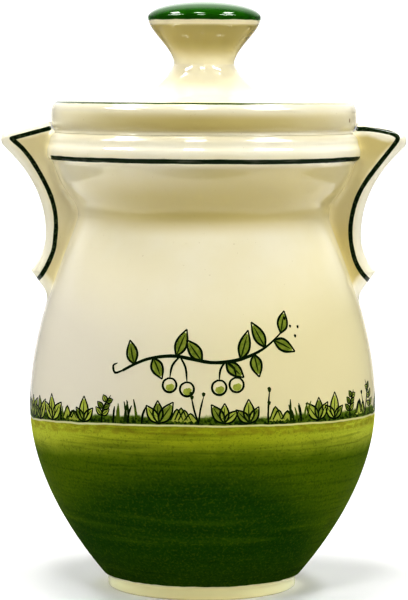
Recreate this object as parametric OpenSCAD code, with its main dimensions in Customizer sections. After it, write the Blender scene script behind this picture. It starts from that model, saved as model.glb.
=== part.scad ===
// Lidded stoneware fruit pot with two lug handles.
// Millimetres. +Z is up, the foot stands on z = 0, and the lugs lie along X.
// Every round piece is one revolved outline, drawn as [radius, height] points.

/* [Pot] */
// Radius of the foot ring where it stands
foot_r = 50.5; // [44:0.1:56]
// Height of the foot ring
foot_h = 7; // [4:0.1:12]
// Width of the ring that the pot stands on
foot_ring_w = 10; // [6:0.1:14]
// Depth of the recess inside the foot ring
foot_recess = 3; // [1.5:0.1:3.5]
// Step from the foot ring out to the flank
foot_step = 2; // [0:0.1:4]
// Largest radius of the belly
belly_r = 92.6; // [84:0.1:104]
// Height of the largest radius above the foot ring
belly_h = 93; // [75:0.5:110]
// Lean of the flank outwards where it leaves the foot, in degrees
flank_lean = 40; // [30:0.5:48]
// Radius of the waist
waist_r = 67.8; // [60:0.1:74]
// Height of the waist above the belly's largest radius
shoulder_h = 99; // [85:0.5:115]
// Radius of the neck where it meets the rim band
neck_r = 81; // [76:0.1:82.5]
// Height of the rim band's lower edge above the waist
neck_h = 29; // [22:0.1:36]
// Outer radius of the rim band
rim_r = 83.8; // [83:0.1:88]
// Height of the rim band
rim_h = 15.5; // [12:0.1:20]
// Radius of the rim's top seat
rim_top_r = 77.5; // [76:0.1:80]
// Inner radius of the mouth
mouth_r = 73.2; // [70:0.1:75]
// Thickness of the wall
wall = 6.5; // [5:0.1:8]
// Thickness of the floor
floor_t = 8; // [6:0.1:11]
// Height above the foot at which the green glaze ends
glaze_h = 98; // [40:0.5:120]

/* [Lugs] */
// Thickness of a lug, front to back
lug_t = 20; // [14:0.1:28]
// How far a lug's tip stands out from the rim band
lug_reach = 23.8; // [18:0.1:32]
// Thickness of the web beside the waist
lug_web = 16.1; // [12:0.1:22]
// Rise of a lug's top edge above the rim seat, beside the lid
lug_rise = 5; // [4.6:0.1:8]
// Fall of the top edge towards the tip, in degrees
lug_fall = 12; // [4:0.5:20]
// Rounding of the tip, seen from the front
lug_tip_r = 5; // [4:0.1:7]
// Drop from the waist to the thinnest place of the web
lug_hollow_drop = 10; // [4:0.1:16]
// Pull of the hollow's upper curve, which sets how upright it starts
lug_pull = 26; // [16:0.5:32]
// Radius of the hollow's lower curve
lug_heel_r = 28.5; // [22:0.1:40]
// Drop from the thinnest place to the heel's corner
lug_heel_drop = 19.6; // [14:0.1:22]
// Slant of the lower end, in degrees from level
lug_end_slant = 54; // [40:0.5:65]
// Rounding of a lug's long edges
lug_edge_r = 4.5; // [2:0.1:4.8]

/* [Lid] */
// How far the lid's edge lies inside the rim band
lid_inset = 2.5; // [0.5:0.1:3]
// Height of the lid's edge, from the seat to the start of the dome
lid_edge_h = 15.7; // [13.3:0.1:18]
// Width of the rounding along the upper side of the lid's edge
lid_roll_w = 4.5; // [2:0.1:6]
// Height of the rounding along the upper side of the lid's edge
lid_roll_h = 6.5; // [3:0.1:6.6]
// Width of the undercut below the lid's edge
lid_undercut = 3; // [2:0.1:6]
// Height of the undercut below the lid's edge
lid_undercut_h = 6.5; // [3:0.1:6.6]
// Rise of the lid from its edge to the knob's neck
lid_rise = 19.5; // [14:0.5:28]
// Lean of the lid's collar outwards where it leaves the knob, in degrees
collar_lean = 22; // [5:0.5:30]
// Thickness of the lid
lid_wall = 6.5; // [5:0.1:8]
// Depth of the flange that keeps the lid in the mouth
flange_h = 12; // [6:0.1:18]
// Thickness of the flange
flange_t = 6; // [4:0.1:8]
// Radial clearance between the flange and the mouth
flange_clear = 1.2; // [0.6:0.1:2.5]
// Clearance between the lid and its seat
seat_gap = 0.3; // [0.2:0.05:0.6]
// Clearance between the lid's edge and the lugs
lug_gap = 0.8; // [0.6:0.1:2]

/* [Knob] */
// Radius of the knob's neck
knob_neck_r = 16; // [12:0.1:19]
// Largest radius of the knob
knob_r = 30; // [25:0.1:36]
// Height of the knob's cone, from the neck to its widest place
knob_cone_h = 24.8; // [21:0.1:32]
// Height of the knob's cap above its widest place
knob_cap_h = 8.2; // [6:0.1:12]
// Height of the green cap's edge below the widest place
knob_glaze_drop = 1.5; // [0.5:0.1:3]
// Thickness of the knob's shell
knob_wall = 6; // [5:0.1:8]

/* [Hidden] */
$fn = 96;

cream = [0.90, 0.86, 0.70];
olive_green = [0.36, 0.43, 0.14];
cap_green = [0.13, 0.30, 0.12];

// Steps along a long curve, a knob's cap, a small rounding and a lug's hollow
long_steps = 16;
cap_steps = 12;
short_steps = 6;
hollow_steps = 11;
soft_steps = 3;
// Small radius that breaks the fired edges
soft = 1.2;

// Pulls of the long curves, each as a share of the height that its curve spans
flank_pull = 0.69;
belly_pull_down = 0.09;
belly_pull_up = 0.45;
waist_pull_down = 0.07;
waist_pull_up = 0.36;
neck_pull = 0.7;
neck_flare = 0.19;
dome_pull = 0.14;
collar_pull = 0.88;
cone_pull_up = 0.34;
cone_pull_down = 0.31;
// Share of the lid's radius that the dome keeps low, and of the rim band that is rounded
dome_spread = 0.38;
rim_round = 0.62;
// Depth below the rim's top seat at which a lug's root may start
root_drop = 0.3;
// Height above the rim band's lower edge where the straight mouth starts
mouth_lift = 2;
// Pull of the hollow's curve where it leaves the tip
tip_pull = 8;
// Extra thickness of the knob's shell at its widest place
knob_lip = 2;
// Share of the hollow's radius where its crown has fallen, and that fall
crown_share = 0.7;
crown_fall = 1.5;
// Share of the cone's height that the straight bore reaches
bore_share = 0.35;

// Heights that follow from the stacked dimensions
belly_z = foot_h + belly_h;
waist_z = belly_z + shoulder_h;
band_z = waist_z + neck_h;
rim_z = band_z + rim_h;
floor_z = foot_recess + floor_t;
seat_z = rim_z + seat_gap;
lid_edge_z = seat_z + lid_edge_h;
neck_z = lid_edge_z + lid_rise;
knob_wide_z = neck_z + knob_cone_h;
top_z = knob_wide_z + knob_cap_h;
lid_r = rim_r - lid_inset;
flange_r = mouth_r - flange_clear;
knob_bore_r = knob_neck_r - knob_wall;

// Point at [radius, height] moved by a length along an angle from level
function polar(a, len) = len * [cos(a), sin(a)];

// Cubic curve from a to d, pulled towards b and c
function curve(a, b, c, d, n) = [
    for (i = [0 : n])
        let (t = i / n, u = 1 - t)
        u * u * u * a + 3 * t * u * u * b + 3 * t * t * u * c + t * t * t * d
];

// Arc about a centre, between two angles from level
function arc(centre, r, from, to, n) = [
    for (i = [0 : n]) centre + polar(from + (to - from) * i / n, r)
];

// Quarter of an ellipse about a centre, between two angles
function oval(centre, rx, rz, from, to, n) = [
    for (i = [0 : n])
        let (a = from + (to - from) * i / n)
        centre + [rx * cos(a), rz * sin(a)]
];

// Direction of a path at one of its points, and the whole path moved to its left
function unit(v) = v / norm(v);
function heading(path, i) =
    unit(path[min(i + 1, len(path) - 1)] - path[max(i - 1, 0)]);
function moved_in(path, d) = [
    for (i = [0 : len(path) - 1])
        let (h = heading(path, i))
        path[i] + d * [-h[1], h[0]]
];

// Curves of the pot's outside, from the foot up
flank_start = [foot_r + foot_step, foot_h];
flank = curve(
    flank_start,
    flank_start + polar(90 - flank_lean, flank_pull * belly_h),
    [belly_r, belly_z - belly_pull_down * belly_h],
    [belly_r, belly_z],
    long_steps
);
shoulder = curve(
    [belly_r, belly_z],
    [belly_r, belly_z + belly_pull_up * shoulder_h],
    [waist_r, waist_z - waist_pull_down * shoulder_h],
    [waist_r, waist_z],
    long_steps
);
neck = curve(
    [waist_r, waist_z],
    [waist_r, waist_z + waist_pull_up * neck_h],
    [neck_r - neck_flare * neck_h, band_z - neck_pull * neck_h],
    [neck_r, band_z],
    long_steps
);
foot_edge = arc([foot_r - soft, soft], soft, -90, 0, soft_steps);
foot_top = [foot_r + foot_step / 4, foot_h - foot_step / 2];
rim_round_h = rim_round * rim_h;
rim_edge = concat(
    arc([rim_r - soft, band_z + soft], soft, -90, 0, soft_steps),
    oval(
        [rim_top_r, rim_z - rim_round_h],
        rim_r - rim_top_r, rim_round_h, 0, 90, short_steps
    )
);
outside = concat(foot_edge, [foot_top], flank, shoulder, neck, rim_edge);

// The inside runs one wall thickness away, from the floor to the mouth
inner_wall = [
    for (p = moved_in(concat(flank, shoulder, neck), wall))
        if (p[1] > floor_z + soft && p[1] < band_z) p
];
mouth_start_z = band_z + mouth_lift;
inside = concat(
    [[mouth_r + soft, rim_z], [mouth_r, rim_z - soft], [mouth_r, mouth_start_z]],
    [for (i = [len(inner_wall) - 1 : -1 : 0]) inner_wall[i]],
    [[inner_wall[0][0] - soft, floor_z], [0, floor_z]]
);
under = [
    [0, foot_recess],
    [foot_r - foot_ring_w - foot_recess, foot_recess],
    [foot_r - foot_ring_w, 0]
];

// The pot's wall between two heights
module pot_zone(from, to) {
    rotate_extrude()
        intersection() {
            polygon(concat(under, outside, inside));
            translate([0, from])
                square([rim_r + belly_r, to - from]);
        }
}

module pot_body() {
    color(olive_green)
        pot_zone(0, glaze_h);
    color(cream)
        pot_zone(glaze_h, rim_z);
}

// Fixed points of a lug, seen from the front
hollow = [waist_r + lug_web, waist_z - lug_hollow_drop];
lug_tip_x = rim_r + lug_reach - lug_tip_r;
function lug_top_z(x) = rim_z + lug_rise - (x - lid_r) * tan(lug_fall);
lug_tip = [lug_tip_x, lug_top_z(lug_tip_x) - lug_tip_r / cos(lug_fall)];
// Lean of the hollow's upper curve where it runs into the tip
tip_lean = 44;
heel_centre = hollow + [lug_heel_r, 0];
heel_turn = asin(lug_heel_drop / lug_heel_r);
heel = heel_centre - polar(heel_turn, lug_heel_r);
heel_run = polar(180 + lug_end_slant, 1);

// Where the lower end meets the pot, for a slice at y: the run from the heel, found by halving
shoulder_by_z = [for (p = concat(flank, shoulder)) [p[1], p[0]]];
function outside_pot(y, run) =
    let (p = heel + run * heel_run)
    norm([p[0], y]) > lookup(p[1], shoulder_by_z);
function end_run(y, low = 0, high = 40, tries = 24) =
    let (mid = (low + high) / 2)
    tries == 0 ? mid
    : outside_pot(y, mid) ? end_run(y, mid, high, tries - 1)
    : end_run(y, low, mid, tries - 1);

// Free edge of a lug's slice at y, set in by d: top edge, tip, hollow, heel and lower end
lid_path_r = lid_r + lug_gap;
function lug_edge(y, d) =
    let (
        start_x = sqrt(lid_path_r * lid_path_r - y * y),
        tip_end = lug_tip + polar(tip_lean - 90, lug_tip_r),
        upper = curve(
            tip_end,
            tip_end - polar(90 - tip_lean, tip_pull),
            hollow + [0, lug_pull],
            hollow,
            hollow_steps
        ),
        along = lug_heel_r * cos(lug_end_slant - heel_turn),
        heel_in = heel + heel_run
            * (sqrt(along * along + d * (2 * lug_heel_r + d)) - along),
        to_heel = heel_in - heel_centre
    )
    concat(
        [[start_x, lug_top_z(start_x) - d / cos(lug_fall)]],
        arc(lug_tip, lug_tip_r - d, 90 - lug_fall, tip_lean - 90, short_steps),
        [for (i = [1 : hollow_steps - 1]) moved_in(upper, -d)[i]],
        arc(
            heel_centre, lug_heel_r + d,
            180, 360 + atan2(to_heel[1], to_heel[0]), short_steps
        ),
        [heel + end_run(y) * heel_run]
    );

// A lug's inner top edge, and whether a straight root from it to a point passes clear of the
// lid's undercut: both are taken from the undercut's centre, in shares of its radii
root_top = [lid_path_r, lug_top_z(lid_path_r)];
undercut_centre = [lid_r - lid_undercut, seat_z + lid_undercut_h];
function in_shares(p) = [
    (p[0] - undercut_centre[0]) / (lid_undercut + seat_gap),
    (p[1] - undercut_centre[1]) / (lid_undercut_h + seat_gap)
];
function clears_lid(p) =
    let (a = in_shares(root_top), b = in_shares(p))
    abs(cross(a, b)) >= norm(b - a);

// Points of the pot's outside that a lug is luted to, from its top down
root = [
    for (i = [len(outside) - 1 : -1 : 0])
        let (p = outside[i])
        if (
            p[1] > hollow[1] - lug_heel_drop && p[1] < rim_z - root_drop
            && (p[1] <= band_z || clears_lid(p))
        )
            p
];

// Slices of a lug, from front to back, with rounded long edges
edge_turns = 3;
half_slices = [
    for (i = [0 : edge_turns])
        let (a = 90 * i / edge_turns)
        [lug_t / 2 - lug_edge_r * (1 - cos(a)), lug_edge_r * (1 - sin(a))]
];
slices = concat(
    [for (s = half_slices) [-s[0], s[1]]],
    [[0, 0]],
    [for (i = [edge_turns : -1 : 0]) half_slices[i]]
);

// Cap of a slice: triangles between its free edge and its root, taken by height
function drops(path) = [for (i = [0 : len(path) - 2]) (path[i][1] + path[i + 1][1]) / 2];
function above(heights, z) = len([for (h = heights) if (h >= z) 1]);
function cap(edge, root, a, b) =
    let (edge_drops = drops(edge), root_drops = drops(root))
    concat(
        [
            for (i = [0 : len(edge) - 2])
                [a[i], a[i + 1], b[above(root_drops, edge_drops[i])]]
        ],
        [
            for (i = [0 : len(root) - 2])
                [a[above(edge_drops, root_drops[i] + 1e-6)], b[i + 1], b[i]]
        ]
    );
function flat(t) = t[0] == t[1] || t[1] == t[2] || t[0] == t[2];

module lug() {
    loops = [
        for (s = slices)
            concat(
                [for (p = lug_edge(s[0], s[1])) [p[0], s[0], p[1]]],
                [
                    for (i = [len(root) - 1 : -1 : 0])
                        [sqrt(root[i][0] * root[i][0] - s[0] * s[0]), s[0], root[i][1]]
                ]
            )
    ];
    n = len(loops[0]);
    n_edge = n - len(root);
    last = (len(slices) - 1) * n;
    sides = [
        for (k = [0 : len(slices) - 2]) for (i = [0 : n - 1])
            let (a = k * n + i, b = k * n + (i + 1) % n)
            each [[a, b, b + n], [a, b + n, a + n]]
    ];
    edge_ids = [for (i = [0 : n_edge - 1]) i];
    root_ids = concat([0], [for (i = [n - 1 : -1 : n_edge]) i], [n_edge - 1]);
    edge_2d = [for (i = edge_ids) [loops[0][i][0], loops[0][i][2]]];
    root_2d = [for (i = root_ids) [loops[0][i][0], loops[0][i][2]]];
    front = [for (t = cap(edge_2d, root_2d, edge_ids, root_ids)) if (!flat(t)) t];
    back = [for (t = front) [t[0] + last, t[2] + last, t[1] + last]];
    polyhedron(
        points = [for (l = loops) for (p = l) p],
        faces = concat(
            sides,
            [for (t = front) [t[0], t[2], t[1]]],
            [for (t = back) [t[0], t[2], t[1]]]
        )
    );
}

module left_handle() {
    color(cream)
        mirror([1, 0, 0])
            lug();
}

module right_handle() {
    color(cream)
        lug();
}

module lid() {
    collar_h = collar_pull * lid_rise;
    dome = curve(
        [lid_r - lid_roll_w, lid_edge_z],
        [knob_neck_r + dome_spread * lid_r, lid_edge_z + dome_pull * lid_rise],
        [knob_neck_r + collar_h * tan(collar_lean), neck_z - collar_h],
        [knob_neck_r, neck_z],
        long_steps
    );
    edge = concat(
        oval(undercut_centre, lid_undercut, lid_undercut_h, -90, 0, short_steps),
        oval(
            [lid_r - lid_roll_w, lid_edge_z - lid_roll_h],
            lid_roll_w, lid_roll_h, 0, 90, short_steps
        )
    );
    flange_z = seat_z - flange_h;
    flange = [
        [flange_r - flange_t, lid_edge_z - lid_wall],
        [flange_r - flange_t, flange_z],
        [flange_r - soft, flange_z],
        [flange_r, flange_z + soft],
        [flange_r, seat_z]
    ];
    hollow_under = [
        for (p = moved_in(dome, lid_wall))
            if (p[0] > knob_bore_r && p[0] < flange_r - flange_t - 1) p
    ];
    color(cream)
        rotate_extrude()
            polygon(concat(
                flange,
                edge,
                dome,
                [[knob_bore_r, neck_z]],
                [[knob_bore_r, hollow_under[len(hollow_under) - 1][1]]],
                [for (i = [len(hollow_under) - 1 : -1 : 0]) hollow_under[i]]
            ));
}

// Outline of the knob's shell, from the neck up to the crown, and its hollow
knob_cone = curve(
    [knob_neck_r, neck_z],
    [knob_neck_r, neck_z + cone_pull_up * knob_cone_h],
    [knob_r, knob_wide_z - cone_pull_down * knob_cone_h],
    [knob_r, knob_wide_z],
    long_steps
);
knob_cap = oval([0, knob_wide_z], knob_r, knob_cap_h, 0, 90, cap_steps);
knob_hollow_r = knob_r - knob_wall - knob_lip;
crown_z = knob_wide_z + knob_cap_h - knob_wall;
knob_hollow_z = knob_wide_z - knob_wall / 2;
knob_hollow = [
    [0, crown_z],
    [knob_hollow_r * crown_share, crown_z - crown_fall],
    [knob_hollow_r, knob_hollow_z],
    [knob_bore_r, neck_z + bore_share * knob_cone_h],
    [knob_bore_r, neck_z]
];

// The knob's shell between two heights
module knob_zone(from, to) {
    rotate_extrude()
        intersection() {
            polygon(concat(knob_cone, knob_cap, knob_hollow));
            translate([0, from])
                square([2 * knob_r, to - from]);
        }
}

module lid_knob() {
    cap_z = knob_wide_z - knob_glaze_drop;
    color(cream)
        knob_zone(neck_z, cap_z);
    color(cap_green)
        knob_zone(cap_z, top_z);
}

pot_body();
left_handle();
right_handle();
lid();
lid_knob();
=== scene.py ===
import math
import random
from functools import cached_property

import bpy
import numpy as np
from mathutils import Matrix, Vector


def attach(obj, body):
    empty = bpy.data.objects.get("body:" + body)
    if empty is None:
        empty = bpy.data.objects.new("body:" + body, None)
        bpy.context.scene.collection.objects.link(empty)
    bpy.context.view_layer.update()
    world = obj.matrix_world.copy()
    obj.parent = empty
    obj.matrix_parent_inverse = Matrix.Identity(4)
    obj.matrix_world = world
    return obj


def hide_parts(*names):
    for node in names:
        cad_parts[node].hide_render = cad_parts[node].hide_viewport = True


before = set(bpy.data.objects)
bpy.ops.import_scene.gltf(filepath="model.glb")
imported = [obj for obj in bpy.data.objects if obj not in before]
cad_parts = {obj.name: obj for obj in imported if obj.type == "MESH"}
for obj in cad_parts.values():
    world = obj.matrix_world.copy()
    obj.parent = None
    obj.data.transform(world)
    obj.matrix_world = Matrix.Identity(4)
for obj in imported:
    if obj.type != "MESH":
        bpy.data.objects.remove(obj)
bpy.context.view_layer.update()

MM = 0.001

# Place in metres, lens in millimetres, tilt and roll in degrees that lay the pot on the photograph's outline
CAMERA_PLACE, CAMERA_LENS, CAMERA_TILT, CAMERA_ROLL = (0.0005, -1.4938, 0.276), 168.0, 4.696, 0.27


def in_scene(name, data):
    """An object for a mesh, a lamp or a camera, linked at the origin."""
    made = bpy.data.objects.new(name, data)
    bpy.context.scene.collection.objects.link(made)
    return made


def set_camera():
    """Camera at the photograph's distance, height and tilt."""
    data = bpy.data.cameras.new("viewer")
    data.sensor_width = 36.0
    data.lens = CAMERA_LENS
    data.clip_end = 50.0
    camera = in_scene("viewer", data)
    tilt = Matrix.Rotation(math.radians(90 - CAMERA_TILT), 4, "X")
    roll = Matrix.Rotation(math.radians(CAMERA_ROLL), 4, "Z")
    camera.matrix_world = Matrix.Translation(CAMERA_PLACE) @ tilt @ roll
    bpy.context.scene.camera = camera


set_camera()

# Sizes of the pot in millimetres and degrees, as the solid parts have them. The belly alone is 0.1 smaller, so
# that the brushwork on it stays within the solid's width.
FOOT_R, FOOT_H, FOOT_RING_W, FOOT_RECESS, FOOT_STEP = 50.5, 7.0, 10.0, 3.0, 2.0
BELLY_R, BELLY_H, FLANK_LEAN = 92.5, 93.0, 40.0
WAIST_R, SHOULDER_H, NECK_R, NECK_H = 67.8, 99.0, 81.0, 29.0
RIM_R, RIM_H, RIM_TOP_R, MOUTH_R = 83.8, 15.5, 77.5, 73.2
WALL, FLOOR_T, SOFT = 6.5, 8.0, 1.2
LUG_T, LUG_REACH, LUG_WEB, LUG_RISE, LUG_FALL, LUG_TIP_R = 20.0, 23.8, 16.1, 5.0, 12.0, 5.0
LUG_DROP, LUG_PULL, HEEL_R, HEEL_DROP, END_SLANT, LUG_EDGE_R = 10.0, 26.0, 28.5, 19.6, 54.0, 4.5
TIP_LEAN, TIP_PULL = 44.0, 8.0
LID_INSET, LID_EDGE_H, LID_RISE, LID_WALL, COLLAR_LEAN = 2.5, 15.7, 19.5, 6.5, 22.0
LID_ROLL_W, LID_ROLL_H, LID_UNDERCUT, LID_UNDERCUT_H = 4.5, 6.5, 3.0, 6.5
FLANGE_H, FLANGE_T, FLANGE_CLEAR, SEAT_GAP, LUG_GAP = 12.0, 6.0, 1.2, 0.3, 0.8
KNOB_NECK_R, KNOB_R, CONE_H, CAP_H, GLAZE_DROP, KNOB_WALL = 16.0, 30.0, 24.8, 8.2, 1.5, 6.0
KNOB_LIP, CROWN_FALL = 2.0, 1.5

# Pulls of the long curves and places on them, each as a share of the height or radius that it belongs to
FLANK_PULL, BELLY_PULL_DOWN, BELLY_PULL_UP = 0.69, 0.09, 0.45
WAIST_PULL_DOWN, WAIST_PULL_UP, NECK_PULL, NECK_FLARE = 0.07, 0.36, 0.7, 0.19
DOME_PULL, DOME_SPREAD, COLLAR_PULL = 0.14, 0.38, 0.88
CONE_PULL_UP, CONE_PULL_DOWN, CROWN_SHARE, BORE_SHARE = 0.34, 0.31, 0.7, 0.35

# Points along the long curves, the lid's roll and the knob's cap, and round the pot and the knob
LONG_STEPS, NECK_STEPS, DOME_STEPS, CONE_STEPS, ROLL_STEPS, CAP_STEPS = 84, 30, 60, 40, 14, 30
POT_ROUND, KNOB_ROUND = 224, 128
# Radius of a ring of points that keeps the faces of the floor short
FLOOR_RING_R = 20

BELLY_Z = FOOT_H + BELLY_H
WAIST_Z = BELLY_Z + SHOULDER_H
BAND_Z = WAIST_Z + NECK_H
RIM_Z = BAND_Z + RIM_H
FLOOR_Z = FOOT_RECESS + FLOOR_T
SEAT_Z = RIM_Z + SEAT_GAP
LID_EDGE_Z = SEAT_Z + LID_EDGE_H
NECK_Z = LID_EDGE_Z + LID_RISE
KNOB_WIDE_Z = NECK_Z + CONE_H
TOP_Z = KNOB_WIDE_Z + CAP_H
LID_R = RIM_R - LID_INSET
FLANGE_R = MOUTH_R - FLANGE_CLEAR
FLANGE_INNER_R = FLANGE_R - FLANGE_T
KNOB_BORE_R = KNOB_NECK_R - KNOB_WALL
KNOB_HOLLOW_R = KNOB_R - KNOB_WALL - KNOB_LIP
LUG_PATH_R = LID_R + LUG_GAP


# Outlines, as (radius, height) points
def curve(a, b, c, d, n):
    """Cubic curve from a to d, pulled towards b and c."""
    t = np.linspace(0, 1, n + 1)[:, None]
    u = 1 - t
    a, b, c, d = (np.array(p, float) for p in (a, b, c, d))
    return u**3 * a + 3 * t * u * u * b + 3 * t * t * u * c + t**3 * d


def oval(centre, rx, rz, start, end, n):
    """Part of an ellipse about a centre, between two angles from level."""
    a = np.radians(np.linspace(start, end, n + 1))
    return np.column_stack([centre[0] + rx * np.cos(a), centre[1] + rz * np.sin(a)])


def polar(angle, length):
    """A step of a length along an angle from level."""
    return np.array([math.cos(math.radians(angle)), math.sin(math.radians(angle))]) * length


def curve_through(points, n=6):
    """A smooth line through the points."""
    points = np.array(points, float)
    p = np.vstack([2 * points[0] - points[1], points, 2 * points[-1] - points[-2]])
    t = np.linspace(0, 1, n, endpoint=False)[:, None]
    parts = []
    for a, b, c, d in zip(p[:-3], p[1:-2], p[2:-1], p[3:]):
        bend = 2 * a - 5 * b + 4 * c - d
        twist = 3 * b - a - 3 * c + d
        parts.append(0.5 * (2 * b + (c - a) * t + bend * t**2 + twist * t**3))
    return np.vstack(parts + [points[-1:]])


def moved_left(path, distance):
    """The path moved to the left of its own direction."""
    way = np.gradient(path, axis=0)
    way /= np.linalg.norm(way, axis=1)[:, None]
    return path + distance * np.column_stack([-way[:, 1], way[:, 0]])


flank_start = np.array([FOOT_R + FOOT_STEP, FOOT_H])
flank = curve(
    flank_start,
    flank_start + polar(90 - FLANK_LEAN, FLANK_PULL * BELLY_H),
    (BELLY_R, BELLY_Z - BELLY_PULL_DOWN * BELLY_H),
    (BELLY_R, BELLY_Z),
    LONG_STEPS,
)
shoulder = curve(
    (BELLY_R, BELLY_Z),
    (BELLY_R, BELLY_Z + BELLY_PULL_UP * SHOULDER_H),
    (WAIST_R, WAIST_Z - WAIST_PULL_DOWN * SHOULDER_H),
    (WAIST_R, WAIST_Z),
    LONG_STEPS,
)
neck = curve(
    (WAIST_R, WAIST_Z),
    (WAIST_R, WAIST_Z + WAIST_PULL_UP * NECK_H),
    (NECK_R - NECK_FLARE * NECK_H, BAND_Z - NECK_PULL * NECK_H),
    (NECK_R, BAND_Z),
    NECK_STEPS,
)
# The neck runs softly into the rim band, which has a low roll and a high one, all within about 1 mm of the solid
rim_rolls = curve_through([
    (81.25, 227.7), (82.1, 228.5), (83.0, 229.3), (83.6, 230.3), (83.8, 231.6), (83.78, 233.0), (83.7, 234.2),
    (83.4, 235.4), (82.9, 236.6), (82.6, 237.8), (82.48, 239.0), (82.2, 240.1), (81.6, 241.2), (80.62, 242.3),
    (79.3, 243.1), (RIM_TOP_R, RIM_Z),
], 3)
below_rolls = neck[1:, 1] < BAND_Z - 1.2
foot_flare = [(FOOT_R, 3.5), (FOOT_R + 0.1, 5.0), (FOOT_R + 0.6, 6.1), (FOOT_R + 1.2, 6.6)]
outside = np.vstack([
    oval((FOOT_R - SOFT, SOFT), SOFT, SOFT, -90, 0, 5),
    foot_flare,
    flank,
    shoulder[1:],
    neck[1:][below_rolls],
    rim_rolls,
])
inner_wall = moved_left(np.vstack([flank, shoulder[1:], neck[1:]])[::4], WALL)
inner_wall = inner_wall[(inner_wall[:, 1] > FLOOR_Z + 2) & (inner_wall[:, 1] < BAND_Z - 1)]
floor_edge_r = inner_wall[0][0]
foot_inner_r = FOOT_R - FOOT_RING_W
pot_outline = np.vstack([
    [(0, FOOT_RECESS), (FLOOR_RING_R, FOOT_RECESS), (foot_inner_r - FOOT_RECESS, FOOT_RECESS)],
    [(foot_inner_r - 1, 0.6), (foot_inner_r, 0.0)],
    outside,
    [(MOUTH_R + SOFT, RIM_Z)],
    oval((MOUTH_R + SOFT, RIM_Z - SOFT), -SOFT, SOFT, 90, 0, 4)[1:],
    [(MOUTH_R, BAND_Z + 8), (MOUTH_R, BAND_Z + 2)],
    inner_wall[::-1],
    [(floor_edge_r - 2.5, FLOOR_Z + 0.4), (floor_edge_r - 6, FLOOR_Z), (FLOOR_RING_R, FLOOR_Z), (0, FLOOR_Z)],
])

collar_h = COLLAR_PULL * LID_RISE
dome = curve(
    (LID_R - LID_ROLL_W, LID_EDGE_Z),
    (KNOB_NECK_R + DOME_SPREAD * LID_R, LID_EDGE_Z + DOME_PULL * LID_RISE),
    (KNOB_NECK_R + collar_h * math.tan(math.radians(COLLAR_LEAN)), NECK_Z - collar_h),
    (KNOB_NECK_R, NECK_Z),
    DOME_STEPS,
)
hollow_under = moved_left(dome, LID_WALL)
hollow_under = hollow_under[(hollow_under[:, 0] > KNOB_BORE_R) & (hollow_under[:, 0] < FLANGE_INNER_R - 1)]
flange_z = SEAT_Z - FLANGE_H
# The lid's underside from its flange outwards, with the small lip that hangs over the rim's outer slope
seat_and_lip = [
    (FLANGE_R, SEAT_Z - 1), (FLANGE_R + 0.6, SEAT_Z), (76.6, SEAT_Z), (77.4, RIM_Z + 0.12), (78.6, RIM_Z - 0.1),
    (79.4, RIM_Z - 0.3), (79.85, RIM_Z - 0.55), (79.98, RIM_Z - 0.4), (79.7, RIM_Z + 0.3), (79.66, RIM_Z + 0.9),
]
lid_outline = np.vstack([
    [(FLANGE_INNER_R, LID_EDGE_Z - LID_WALL), (FLANGE_INNER_R, flange_z + SOFT), (FLANGE_INNER_R + SOFT, flange_z)],
    [(FLANGE_R - SOFT, flange_z), (FLANGE_R, flange_z + SOFT)],
    seat_and_lip,
    oval((LID_R - LID_UNDERCUT, SEAT_Z + LID_UNDERCUT_H), LID_UNDERCUT, LID_UNDERCUT_H, -60, 0, 10),
    oval((LID_R - LID_ROLL_W, LID_EDGE_Z - LID_ROLL_H), LID_ROLL_W, LID_ROLL_H, 0, 90, ROLL_STEPS),
    dome[1:],
    [(KNOB_BORE_R, NECK_Z), (KNOB_BORE_R, hollow_under[-1][1])],
    hollow_under[::-3],
])

knob_cone = curve(
    (KNOB_NECK_R, NECK_Z),
    (KNOB_NECK_R, NECK_Z + CONE_PULL_UP * CONE_H),
    (KNOB_R, KNOB_WIDE_Z - CONE_PULL_DOWN * CONE_H),
    (KNOB_R, KNOB_WIDE_Z),
    CONE_STEPS,
)
crown_z = TOP_Z - KNOB_WALL
knob_outline = np.vstack([
    knob_cone,
    oval((0, KNOB_WIDE_Z), KNOB_R, CAP_H, 0, 90, CAP_STEPS)[1:],
    [(0, crown_z), (KNOB_HOLLOW_R * CROWN_SHARE, crown_z - CROWN_FALL)],
    [(KNOB_HOLLOW_R, KNOB_WIDE_Z - KNOB_WALL / 2), (KNOB_BORE_R, NECK_Z + BORE_SHARE * CONE_H), (KNOB_BORE_R, NECK_Z)],
])


# Meshes
def add_piece(name, points, faces, sharp=35):
    """A mesh from points in millimetres; edges bent more than the sharp angle stay crisp."""
    mesh = bpy.data.meshes.new(name)
    mesh.from_pydata((np.array(points) * MM).tolist(), [], faces)
    mesh.validate()
    mesh.shade_smooth()
    if sharp:
        mesh.set_sharp_from_angle(angle=math.radians(sharp))
    return in_scene(name, mesh)


def turned(name, outline, steps=POT_ROUND, closed=False):
    """A surface thrown on the wheel: the outline turned about the axis, its ends on the axis unless it is closed."""
    angles = np.linspace(0, 2 * math.pi, steps, endpoint=False)
    points, rings = [], []
    for r, z in outline:
        if r < 1e-6:
            rings.append([len(points)] * steps)
            points.append((0.0, 0.0, z))
        else:
            rings.append(range(len(points), len(points) + steps))
            points.extend((r * math.sin(a), -r * math.cos(a), z) for a in angles)
    pairs = list(zip(rings, rings[1:]))
    if closed:
        pairs.append((rings[-1], rings[0]))
    faces = []
    for low, high in pairs:
        for i in range(steps):
            j = (i + 1) % steps
            loop = (low[i], low[j], high[j], high[i])
            faces.append(tuple(dict.fromkeys(loop)))
    return add_piece(name, points, faces)


def nearest_on(u, v, start, end):
    """Offsets from the nearest point of a straight stretch to the points (u, v), and the stretch's own run."""
    du, dv = end[0] - start[0], end[1] - start[1]
    t = np.clip(((u - start[0]) * du + (v - start[1]) * dv) / (du * du + dv * dv + 1e-12), 0, 1)
    return u - start[0] - t * du, v - start[1] - t * dv, du, dv


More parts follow.
